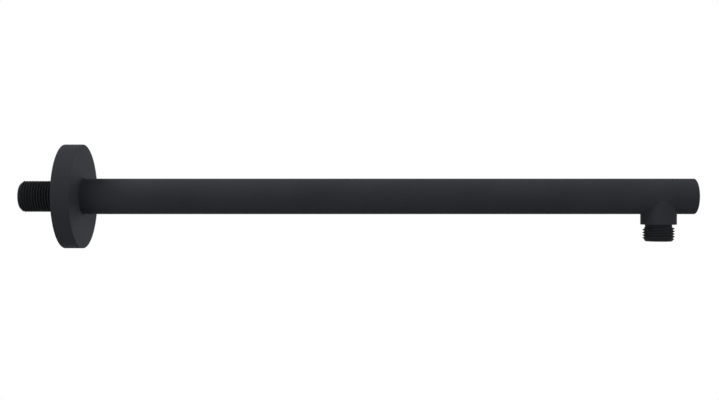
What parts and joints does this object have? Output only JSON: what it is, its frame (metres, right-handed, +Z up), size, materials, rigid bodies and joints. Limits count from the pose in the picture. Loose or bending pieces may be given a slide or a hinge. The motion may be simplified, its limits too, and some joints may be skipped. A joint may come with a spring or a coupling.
{
  "type": "shower arm",
  "caption": "Straight round wall-mounted shower arm with a sliding round wall flange, a threaded inlet behind it and a downward threaded outlet near its closed end.",
  "frame": {"origin": "on the tube's axis at the wall plane, which the flange's rear rim seats on", "axes": "+X along the tube from the wall to the closed end, +Z up, outlet facing -Z"},
  "size_m": [0.454, 0.07, 0.07],
  "materials": {
    "matte_black": "matte",
    "black_rubber": "matte"
  },
  "bodies": {
    "arm": {"arm_tube": "matte_black", "end_plug": "matte_black", "inlet_nipple": "matte_black", "outlet_spigot": "matte_black"},
    "flange": {"wall_flange": "matte_black", "flange_o_ring": "black_rubber"}
  },
  "joints": [
    {"name": "flange_slide", "type": "slide", "parent": "arm", "child": "flange", "axis": [1, 0, 0], "range_m": [0, 0.3755]}
  ]
}
